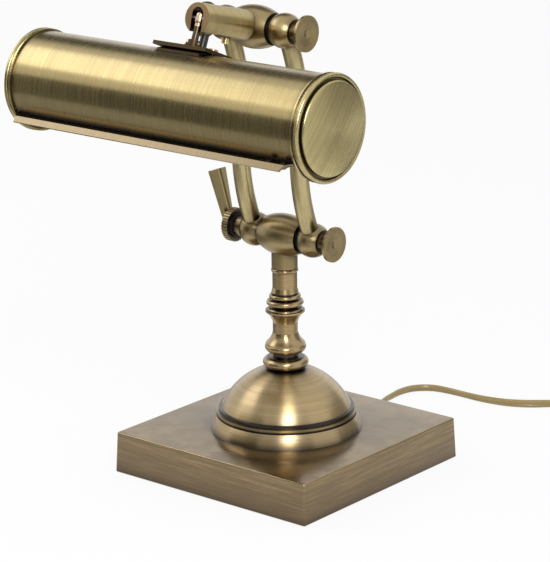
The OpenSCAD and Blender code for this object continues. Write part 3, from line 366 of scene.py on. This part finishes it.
# Tone of the painted shadow.
PAINTED_SHADOW_TONE = (0.085, 0.052, 0.026)
KNOB_LIGHT_TONE = (0.62, 0.43, 0.26)
RAW_BRASS = (0.40, 0.255, 0.125)


def occlusion(tree, reach, inside=False):
    """Near 0 where the surface is shut in within that reach, 1 where it is open."""
    made = add(tree, "AmbientOcclusion", {"Distance": reach}, samples=SHADE_SAMPLES, inside=inside)
    return made.outputs["AO"]


def brushed_brass(name, colour, grain, roughness=0.3, patina_and_shade=0.75, turn=(0, 0, 0), axis="Z", anisotropic=0.5,
                  streaks=0.2, reach=0.004, painted_shadow=0.0, lacquer=0.12, wear_and_highlight=0.35, wear_and_highlight_from=0.75,
                  bands=(), raw_end=None):
    """Brushed brass: streaks across the fine axis, edges lighter as worn brass and painted highlight,
    corners darker as oxide and painted shade, and painted shadow near other parts.
    """
    material, tree = new_material(name)
    shader = tree.nodes["Principled BSDF"]
    fine = noise(tree, grain, 4.0, 0.65, turn)
    broad = noise(tree, tuple(g * BROAD for g in grain), 3.0, 0.6, turn)
    cloud = noise(tree, CLOUD, 4.0, 0.6)
    tone = mix_colour(tree, ramp(tree, fine, *FINE_SPREAD, 0, streaks), colour, dark(colour, FINE_DARK))
    tone = mix_colour(tree, ramp(tree, broad, *BROAD_SPREAD, 0, streaks), tone, dark(colour, BROAD_DARK))
    tone = mix_colour(tree, ramp(tree, cloud, *CLOUD_SPREAD, 0, CLOUD_SHARE), tone, dark(colour, CLOUD_DARK))
    edge = occlusion(tree, EDGE_REACH, inside=True)
    # Edges lighter: partly worn brass, partly painted highlight.
    tone = mix_colour(tree, ramp(tree, edge, wear_and_highlight_from - WEAR_AND_HIGHLIGHT_SPAN, wear_and_highlight_from, wear_and_highlight, 0), tone, WORN_AND_HIGHLIGHT)
    # Painted shadow where other parts stand near.
    tone = mix_colour(tree, ramp(tree, occlusion(tree, PAINTED_SHADOW_REACH), *PAINTED_SHADOW_SPREAD, painted_shadow, 0), tone, PAINTED_SHADOW_TONE)
    # Corners and creases darker: partly oxide, partly painted shade.
    tone = mix_colour(tree, ramp(tree, occlusion(tree, reach), *CORNER_SPREAD, patina_and_shade, 0), tone, PATINA_AND_SHADE)
    for band_axis, low, high, band_colour in bands:
        tone = mix_colour(tree, between(tree, band_axis, low, high), tone, band_colour)
    if raw_end:
        tone = mix_colour(tree, facing(tree, raw_end), tone, RAW_BRASS)
    tree.links.new(tone, shader.inputs["Base Color"])
    shader.inputs["Metallic"].default_value = 1.0
    shader.inputs["Anisotropic"].default_value = anisotropic
    shader.inputs["Anisotropic Rotation"].default_value = ACROSS
    shader.inputs["Coat Weight"].default_value = lacquer
    shader.inputs["Coat Roughness"].default_value = LACQUER_ROUGHNESS
    shader.inputs["Coat IOR"].default_value = LACQUER_IOR
    rough = ramp(tree, fine, *ROUGH_SPREAD, roughness - ROUGH_LESS, roughness + ROUGH_MORE)
    tree.links.new(rough, shader.inputs["Roughness"])
    tree.links.new(bump(tree, fine, BRUSH_BUMP), shader.inputs["Normal"])
    around = add(tree, "Tangent", direction_type="RADIAL", axis=axis)
    tree.links.new(around.outputs["Tangent"], shader.inputs["Tangent"])
    return material


# Brass tones, and bands of another tone: [axis, from, to, colour], in millimetres
# The tones are partly each part's own finish and partly painted light: the arms and end caps are drawn
# lighter and the pivots darker to stand for how they are lit.
BRASS = (0.42, 0.32, 0.125)
PALE_BRASS = (0.57, 0.47, 0.24)
TUBE_BRASS = (0.52, 0.41, 0.19)
END_BRASS = (0.58, 0.48, 0.225)
TURNED_BRASS = (0.46, 0.335, 0.16)
PIVOT_BRASS = (0.38, 0.285, 0.125)
BASE_BRASS = (0.295, 0.208, 0.106)
DEEP_BRASS = (0.085, 0.056, 0.030)
BRIGHT_BRASS = (0.70, 0.56, 0.27)
HEM_BRASS = (0.20, 0.14, 0.06)
# Painted shade of the lever's fold.
FOLD_PAINTED_SHADE = (0.20, 0.15, 0.045)
# The knob at the top of the tongue is drawn lighter than its stem.
KNOB = ("Z", 288.5, 300, KNOB_LIGHT_TONE)
# The shade's lowest band, round the hem, is drawn darker.
HEM = ("Z", 220, 230.9, HEM_BRASS)
# The lever's fold is painted light: a painted highlight line, a shaded facet, then a lit facet.
LEVER_FOLD_PAINTED_LIGHT = (("Y", -0.7, 0.4, WORN_AND_HIGHLIGHT), ("Y", 0.5, 2.0, FOLD_PAINTED_SHADE), ("Y", 2.2, 7, PALE_BRASS))
DOME_GROOVES = (("Z", 34.6, 35.8, PATINA_AND_SHADE), ("Z", 37.6, 39.5, PATINA_AND_SHADE))
TUBE_SLANT = math.radians(14.1)
TUBE_FRONT = (0, -math.cos(TUBE_SLANT), math.sin(TUBE_SLANT))

# The finishes set how strongly each paints shadow near other parts, darkens its corners and lightens its
# edges.
finish = {
    "shade": brushed_brass("shade_brass", BRASS, GRAIN_X, 0.26, patina_and_shade=0.95, axis="X", anisotropic=0.7,
                           streaks=0.16, reach=0.005, painted_shadow=0.5, lacquer=0.45, bands=(HEM,)),
    "end": brushed_brass("end_cap_brass", END_BRASS, GRAIN_Z, 0.26, turn=DIAGONAL, axis="X", anisotropic=0.3,
                         streaks=0.3),
    "base": brushed_brass("base_brass", BASE_BRASS, SHORT_GRAIN_Z, 0.15, patina_and_shade=0.6, anisotropic=0.2,
                          streaks=0.55, reach=0.006, painted_shadow=0.95, lacquer=0.3, wear_and_highlight=1.0, wear_and_highlight_from=0.9),
    "dome": brushed_brass("dome_brass", TURNED_BRASS, GRAIN_Z, 0.32, patina_and_shade=0.95, axis="Z", anisotropic=0.85,
                          streaks=0.18, reach=0.006, painted_shadow=0.5, lacquer=0.45, bands=DOME_GROOVES),
    "turned": brushed_brass("turned_brass", TURNED_BRASS, GRAIN_Z, 0.26, patina_and_shade=0.95, axis="Z",
                            anisotropic=0.6, painted_shadow=0.95, lacquer=0.25),
    "pivot": brushed_brass("pivot_brass", PIVOT_BRASS, GRAIN_X, 0.33, patina_and_shade=0.95, axis="X", anisotropic=0.5,
                           streaks=0.12, painted_shadow=1.0, lacquer=0.3),
    "arm": brushed_brass("arm_brass", PALE_BRASS, ARM_GRAIN, 0.28, anisotropic=0.2, painted_shadow=1.0, lacquer=0.05),
    "tube": brushed_brass("tube_brass", TUBE_BRASS, GRAIN_Y, 0.32, patina_and_shade=1.0, axis="Y", anisotropic=0.6,
                          reach=0.008, raw_end=TUBE_FRONT),
    # The lever below carries the painted fold.
    "lever": brushed_brass("lever_brass", TUBE_BRASS, GRAIN_Y, 0.30, anisotropic=0.2, bands=LEVER_FOLD_PAINTED_LIGHT),
    "tongue": brushed_brass("tongue_brass", DEEP_BRASS, GRAIN_X, 0.26, patina_and_shade=0.5, anisotropic=0.2, wear_and_highlight=0.0,
                            bands=(KNOB,)),
    "deep": brushed_brass("dark_brass", DEEP_BRASS, GRAIN_X, 0.42, patina_and_shade=0.5, anisotropic=0.2, lacquer=0.0,
                          wear_and_highlight=0.0),
    "bright": brushed_brass("screw_brass", BRIGHT_BRASS, SCREW_GRAIN, 0.24, patina_and_shade=0.6, anisotropic=0.0),
}


# Other materials
SKIN = (900, 900, 900)
MOTTLE = (60, 60, 60)
MOTTLE_SPREAD, MOTTLE_SHARE, MOTTLE_DARK = (0.35, 0.7), 0.35, 0.72
GRIT = (600, 600, 600)
GRIT_SPREAD, GRIT_SHARE, GRIT_DARK = (0.3, 0.7), 0.4, 0.6
CAP_THREAD = (90, 2400, 2400)
FROST = (70, 70, 70)
FROST_SHARE = 0.3
GOLD = (0.36, 0.25, 0.095)
SHEATH_GOLD = (0.30, 0.215, 0.08)
PEARL, PEARL_SHADE = (0.96, 0.95, 0.92), (0.88, 0.87, 0.83)


def plastic(name, colour, roughness, coat=0.0):
    """Moulded plastic: a fine skin, faint mottling and a soft gloss."""
    material, tree = new_material(name)
    shader = tree.nodes["Principled BSDF"]
    skin = noise(tree, SKIN, 3.0, 0.6)
    cloud = noise(tree, MOTTLE, 3.0, 0.6)
    mottling = ramp(tree, cloud, *MOTTLE_SPREAD, 0, MOTTLE_SHARE)
    tone = mix_colour(tree, mottling, colour, dark(colour, MOTTLE_DARK))
    tree.links.new(tone, shader.inputs["Base Color"])
    rough = ramp(tree, skin, *GRIT_SPREAD, roughness - 0.06, roughness + 0.08)
    tree.links.new(rough, shader.inputs["Roughness"])
    tree.links.new(bump(tree, skin, 0.15), shader.inputs["Normal"])
    shader.inputs["Coat Weight"].default_value = coat
    return material


def plain_metal(name, colour, roughness, grain=GRIT):
    """Bare metal with a fine grit."""
    material, tree = new_material(name)
    shader = tree.nodes["Principled BSDF"]
    fine = noise(tree, grain, 4.0, 0.6)
    tone = mix_colour(tree, ramp(tree, fine, *GRIT_SPREAD, 0, GRIT_SHARE), colour, dark(colour, GRIT_DARK))
    tree.links.new(tone, shader.inputs["Base Color"])
    shader.inputs["Metallic"].default_value = 1.0
    rough = ramp(tree, fine, *GRIT_SPREAD, roughness - ROUGH_LESS, roughness + ROUGH_MORE)
    tree.links.new(rough, shader.inputs["Roughness"])
    tree.links.new(bump(tree, fine, 0.1), shader.inputs["Normal"])
    return material


def pearl_glass(name):
    """Frosted glass of the bulb."""
    material, tree = new_material(name)
    shader = tree.nodes["Principled BSDF"]
    cloud = noise(tree, FROST, 3.0, 0.6)
    tone = mix_colour(tree, ramp(tree, cloud, *MOTTLE_SPREAD, 0, FROST_SHARE), PEARL, PEARL_SHADE)
    tree.links.new(tone, shader.inputs["Base Color"])
    tree.links.new(ramp(tree, cloud, *GRIT_SPREAD, 0.12, 0.22), shader.inputs["Roughness"])
    shader.inputs["Transmission Weight"].default_value = 0.7
    return material


finish.update({
    "steel": plain_metal("steel", (0.50, 0.49, 0.47), 0.3),
    "iron": plain_metal("cast_weight", (0.10, 0.10, 0.10), 0.6),
    "black": plastic("black_plastic", (0.012, 0.011, 0.010), 0.32),
    "sole": plastic("sole_rubber", (0.03, 0.03, 0.03), 0.75),
    "sheath": plastic("cord_sheath", SHEATH_GOLD, 0.34, coat=0.2),
    "gold": plastic("gold_plastic", GOLD, 0.36, coat=0.15),
    "holder": plastic("holder_body", (0.78, 0.74, 0.64), 0.4),
    "bulb_metal": plain_metal("bulb_metal", (0.62, 0.58, 0.50), 0.28, CAP_THREAD),
    "bulb_glass": pearl_glass("bulb_glass"),
})


def dress(material, *names):
    """Gives a finish to nodes of the frame and to pieces made here."""
    for name in names:
        piece = nodes[name] if name in nodes else bpy.data.objects[name]
        piece.data.materials.clear()
        piece.data.materials.append(finish[material])


# Base: drafted square casing with rounded edges, open below
BASE_HALF, BASE_TOP = (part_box("base_shell")[1][k] / MM for k in (0, 2))
BASE_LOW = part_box("base_shell")[0][2] / MM
BASE_DRAFT = 1.1
BASE_WALL = 1.6
BASE_CORNER = 1.3
BASE_EDGE = 0.7
BASE_EDGE_FROM = 15
BASE_FOOT = 0.4
CORNER_LEAST = 0.05
CORNER_STEPS = 5


def square_ring(half, z, corner):
    """A ring of points round a square with round corners."""
    corner = max(corner, CORNER_LEAST)
    inner = half - corner
    ring = []
    for k, (sx, sy) in enumerate(((1, 1), (-1, 1), (-1, -1), (1, -1))):
        ring += arc((sx * inner, sy * inner), corner, k * 90, k * 90 + 90, CORNER_STEPS)
    return [(x * MM, y * MM, z * MM) for x, y in ring]


def base_half(z):
    """Half width of the drafted sides at a height."""
    return BASE_HALF - BASE_DRAFT * (z - BASE_LOW) / (BASE_TOP - BASE_LOW)


def make_base():
    """From the inside of the top down the inner walls, round the foot, up the sides and over the edge."""
    inside = BASE_HALF - BASE_DRAFT - BASE_WALL
    edge_z = BASE_TOP - BASE_EDGE
    edge_half = base_half(edge_z) - BASE_EDGE
    rings = [square_ring(inside, BASE_TOP - BASE_WALL, BASE_FOOT), square_ring(inside, BASE_LOW, BASE_FOOT),
             square_ring(BASE_HALF - BASE_FOOT, BASE_LOW, BASE_CORNER - BASE_FOOT)]
    rings += [square_ring(base_half(z), z, BASE_CORNER) for z in (BASE_LOW + BASE_FOOT, edge_z)]
    for half, z in arc((edge_half, edge_z), BASE_EDGE, BASE_EDGE_FROM, 90, CORNER_STEPS):
        rings.append(square_ring(half, z, BASE_CORNER))
    piece = mesh_object("base_casing", *loft(rings))
    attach(piece, "stand")
    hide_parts("base_shell")


make_base()

# End caps of the shade: the frame's caps, with a slight crown on the disc
CAP_STEPS = 96
CAP_FIT = 0.05
CAP_SKIRT = (4.0, 1.0)
CAP_COLLAR = 2.2
CAP_RING = (1.1, 0.2)
CAP_COLLAR_IN = 0.9
BEAD_S = 1.5
BEAD_OUT = 1.5
FACE_RISE = 3.1
FACE_GROOVE = 1.0
FACE_ROUND = 1.2
FACE_CROWN = 1.7
FACE_EYE = 1
BEAD_TURN, BEAD_STEPS = (156, -90), 20
ROUND_TURN, ROUND_STEPS = (90, 12), 6
CROWN_STEPS = 12
SHADE_WALL = 1.0


def cap_profile(bead_r):
    """Outline of a cap from its inner face round the bead to the crown: [out from the edge, radius]."""
    bead_x = -FACE_RISE
    back_x = bead_x - BEAD_S
    seat_r = bead_r - BEAD_OUT + CAP_FIT
    inner_r = bead_r - BEAD_OUT - SHADE_WALL - CAP_FIT
    collar_x = back_x - CAP_COLLAR
    face_r = bead_r - 2 * BEAD_S - FACE_GROOVE
    flat_r = face_r - FACE_ROUND
    skirt_x = back_x - CAP_SKIRT[0]
    skirt_r = inner_r - CAP_SKIRT[1]
    ring_x = collar_x + CAP_RING[0]
    ring_r = bead_r - CAP_RING[1]
    outline = [(back_x, FACE_EYE), (back_x, skirt_r), (skirt_x, skirt_r), (skirt_x, inner_r),
               (back_x, inner_r), (back_x, seat_r), (collar_x, seat_r), (collar_x, ring_r),
               (ring_x, ring_r), (ring_x, bead_r - CAP_COLLAR_IN)]
    outline += arc((bead_x, bead_r - BEAD_S), BEAD_S, *BEAD_TURN, BEAD_STEPS)
    outline += [(bead_x, face_r)] + arc((-FACE_ROUND, flat_r), FACE_ROUND, *ROUND_TURN, ROUND_STEPS)
    shares = [k / CROWN_STEPS for k in range(CROWN_STEPS - 1, 0, -1)]
    outline += [(FACE_CROWN * (1 - share ** 2), flat_r * share) for share in shares]
    return outline


def make_end_cap(node, side):
    """The cap in place of a node, turned about the shade's axis; side is where it faces along X."""
    low, high = (Vector(corner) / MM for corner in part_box(node))
    middle = (low + high) / 2
    edge = high.x if side > 0 else low.x
    bead_r = (high.z - low.z) / 2
    turns = [2 * math.pi * k / CAP_STEPS for k in range(CAP_STEPS)]
    around = [(math.cos(t), math.sin(t)) for t in turns]
    rings = [[Vector((edge + side * x, middle.y + r * c, middle.z + r * s)) * MM for c, s in around]
             for x, r in cap_profile(bead_r)]
    piece = mesh_object(node + "_crowned", *loft(rings))
    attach(piece, "shade")
    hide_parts(node)


make_end_cap("left_end_cap", -1)
make_end_cap("right_end_cap", 1)

# Finishes of the frame's own solids and of the pieces above
dress("base", "base_casing")
dress("sheath", "mains_cord")
dress("dome", "dome_foot")
dress("turned", "column_seat", "column_baluster", "column_neck")
dress("pivot", "lower_barrel", "upper_barrel", "left_lower_knuckle", "right_lower_knuckle",
      "left_upper_knuckle", "right_upper_knuckle", "lower_cap", "upper_left_cap", "upper_right_cap",
      "clamp_spacer", "clamp_disc")
dress("arm", "left_arm", "right_arm")
dress("tube", "head_tube")
dress("lever", "clamp_lever")
dress("shade", "shade_body")
dress("end", "left_end_cap_crowned", "right_end_cap_crowned")
dress("tongue", "hinge_tongue")
dress("deep", "saddle_plate", "saddle_base", "tongue_block", "lip_rivets")
dress("bright", "saddle_rivets", "tongue_screw", "tube_screw")
dress("steel", "tie_rod", "tie_nut", "tie_washer", "lower_bolt", "upper_bolt", "hinge_pin", "holder_bracket",
      "plug_pins")
dress("iron", "base_weight")
dress("sole", "base_sole")
dress("black", "lower_washers", "upper_washers", "clamp_ring", "lead_sleeve", "cord_gland", "coil_tie",
      "switch_rocker")
dress("gold", "switch_base", "switch_cover", "plug_body", "inner_lead")
dress("holder", "lamp_holder")
dress("bulb_metal", "bulb_cap")
dress("bulb_glass", "bulb_glass")


# Studio
FLOOR_HALF = 6
FLOOR_WHITE = 0.82
AMBIENT = 0.75
SHADOW_SHARE = 0.12
DOWN = (0, 0, -1)
CARD_Z = 0.001


def seen_directly(tree):
    """1 where the camera, a reflection or a glass looks at the backdrop."""
    path = add(tree, "LightPath")
    both = add(tree, "Math", operation="MAXIMUM")
    every = add(tree, "Math", operation="MAXIMUM")
    tree.links.new(path.outputs["Is Camera Ray"], both.inputs[0])
    tree.links.new(path.outputs["Is Glossy Ray"], both.inputs[1])
    tree.links.new(both.outputs[0], every.inputs[0])
    tree.links.new(path.outputs["Is Transmission Ray"], every.inputs[1])
    return every.outputs[0]


def make_world():
    """Even soft light, and white wherever the backdrop is looked at."""
    world = bpy.data.worlds.new("studio")
    world.use_nodes = True
    scene.world = world
    tree = world.node_tree
    light = tree.nodes["Background"]
    light.inputs["Color"].default_value = (1, 1, 1, 1)
    light.inputs["Strength"].default_value = AMBIENT
    white = add(tree, "Background", {"Color": (1, 1, 1, 1), "Strength": 1.0})
    mixed = add(tree, "MixShader")
    tree.links.new(seen_directly(tree), mixed.inputs[0])
    tree.links.new(light.outputs[0], mixed.inputs[1])
    tree.links.new(white.outputs[0], mixed.inputs[2])
    tree.links.new(mixed.outputs[0], tree.nodes["World Output"].inputs["Surface"])


def make_floor():
    """White paper that keeps a share of the lamp's shadow."""
    corners = [(x * FLOOR_HALF, y * FLOOR_HALF, 0) for x, y in ((-1, -1), (1, -1), (1, 1), (-1, 1))]
    floor = mesh_object("floor", corners, [(0, 1, 2, 3)])
    material, tree = new_material("floor_paper")
    tree.nodes.remove(tree.nodes["Principled BSDF"])
    paper = add(tree, "BsdfDiffuse", {"Color": (FLOOR_WHITE, FLOOR_WHITE, FLOOR_WHITE, 1)})
    white = add(tree, "Emission", {"Color": (1, 1, 1, 1), "Strength": 1.0})
    mixed = add(tree, "MixShader")
    tree.links.new(ramp(tree, seen_directly(tree), 0, 1, 0, 1 - SHADOW_SHARE), mixed.inputs[0])
    tree.links.new(paper.outputs[0], mixed.inputs[1])
    tree.links.new(white.outputs[0], mixed.inputs[2])
    tree.links.new(mixed.outputs[0], tree.nodes["Material Output"].inputs["Surface"])
    floor.data.materials.append(material)


def panel_place(place, face):
    """Matrix of a panel whose front looks along -face and whose width runs along X as far as it can."""
    back = Vector(face).normalized()
    wide = (Vector((1, 0, 0)) - back * back.x).normalized()
    turn = Matrix((wide, back.cross(wide), back)).transposed()
    return Matrix.Translation(place) @ turn.to_4x4()


def softbox(name, place, face, size, level):
    """A soft rectangular light of a brightness where 1 is white paper."""
    light = bpy.data.lights.new(name, "AREA")
    light.shape = "RECTANGLE"
    light.size, light.size_y = size
    light.energy = level * math.pi * size[0] * size[1]
    lamp = bpy.data.objects.new(name, light)
    scene.collection.objects.link(lamp)
    lamp.matrix_world = panel_place(place, face)


def flag(name, place, face, size, level):
    """A grey card that only reflections see, as a photographer sets beside metal."""
    w, h = size[0] / 2, size[1] / 2
    card = mesh_object(name, [(-w, -h, 0), (w, -h, 0), (w, h, 0), (-w, h, 0)], [(0, 1, 2, 3)])
    card.matrix_world = panel_place(place, face)
    material, tree = new_material(name)
    tree.nodes.remove(tree.nodes["Principled BSDF"])
    grey = add(tree, "Emission", {"Color": (level, level, level, 1), "Strength": 1.0})
    tree.links.new(grey.outputs[0], tree.nodes["Material Output"].inputs["Surface"])
    card.data.materials.append(material)
    card.visible_camera = False
    card.visible_diffuse = False
    card.visible_transmission = False
    card.visible_shadow = False


# Lights and cards: place, direction of the back, size, level
make_world()
make_floor()
softbox("key_light", (-1.02, -0.42, 0.97), (0, -0.276, 0.961), (0.9, 0.74), 2.2)
softbox("camera_light", (0.74, -0.77, 0.82), (0.545, -0.65, 0.50), (0.38, 0.6), 12.5)
flag("front_flag", (-0.42, -0.62, 0.225), (0, -1, 0), (0.80, 0.43), 0.06)
flag("front_floor_card", (-0.35, -0.55, CARD_Z), DOWN, (1.1, 0.6), 0.45)
flag("camera_wall", (1.36, -1.62, 0.62), (0.643, -0.766, 0), (3.6, 1.9), 0.36)
flag("right_flag", (0.65, 1.13, 0.30), (0.5, 0.866, 0), (1.2, 0.8), 0.30)
flag("left_flag", (-1.26, -0.34, 0.30), (-0.966, -0.26, 0), (1.1, 0.7), 1.0)
flag("high_back_flag", (-1.0, 0.72, 1.22), (0, 0.66, 0.75), (1.6, 0.75), 0.05)
flag("right_floor_card", (0.62, 0.55, CARD_Z), DOWN, (0.32, 0.30), 0.22)
flag("left_floor_card", (-0.55, 0.32, CARD_Z), DOWN, (0.7, 1.15), 0.24)
flag("back_floor_card", (0.08, 0.60, CARD_Z), DOWN, (0.55, 0.6), 0.24)

scene.view_settings.view_transform = "Standard"
